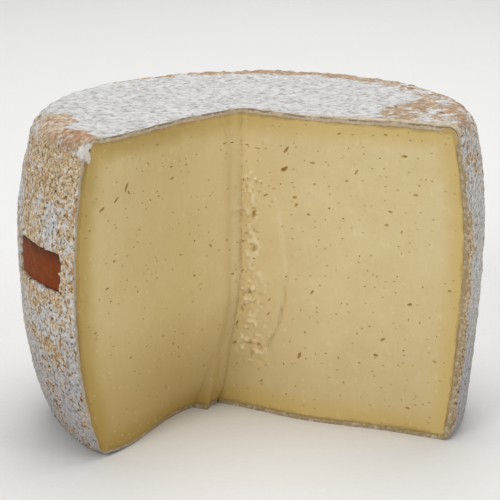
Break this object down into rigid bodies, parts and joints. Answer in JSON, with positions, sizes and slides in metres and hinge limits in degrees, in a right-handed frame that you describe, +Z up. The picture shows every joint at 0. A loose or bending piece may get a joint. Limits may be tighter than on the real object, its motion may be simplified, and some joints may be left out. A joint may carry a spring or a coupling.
{
  "type": "cheese wheel",
  "caption": "Tall natural-rind cheese wheel with barrel sides and a wedge cut out, showing two pale paste faces, and a small casein label set in its rind.",
  "frame": {"origin": "on the flat base, on the wheel's own axis", "axes": "+Z up along the wheel's axis; the wedge opens towards -Y, so +X runs across the two cut faces, to the right as one looks into the wedge"},
  "size_m": [0.2396, 0.1901, 0.162],
  "materials": {
    "rind": "dry natural rind with white mould over tan",
    "paste": "semi-firm pale yellow cheese paste, cut with a knife",
    "label": "red-brown pressed casein"
  },
  "bodies": {
    "root": {"cheese_wheel": "rind", "casein_label": "label"}
  },
  "joints": []
}
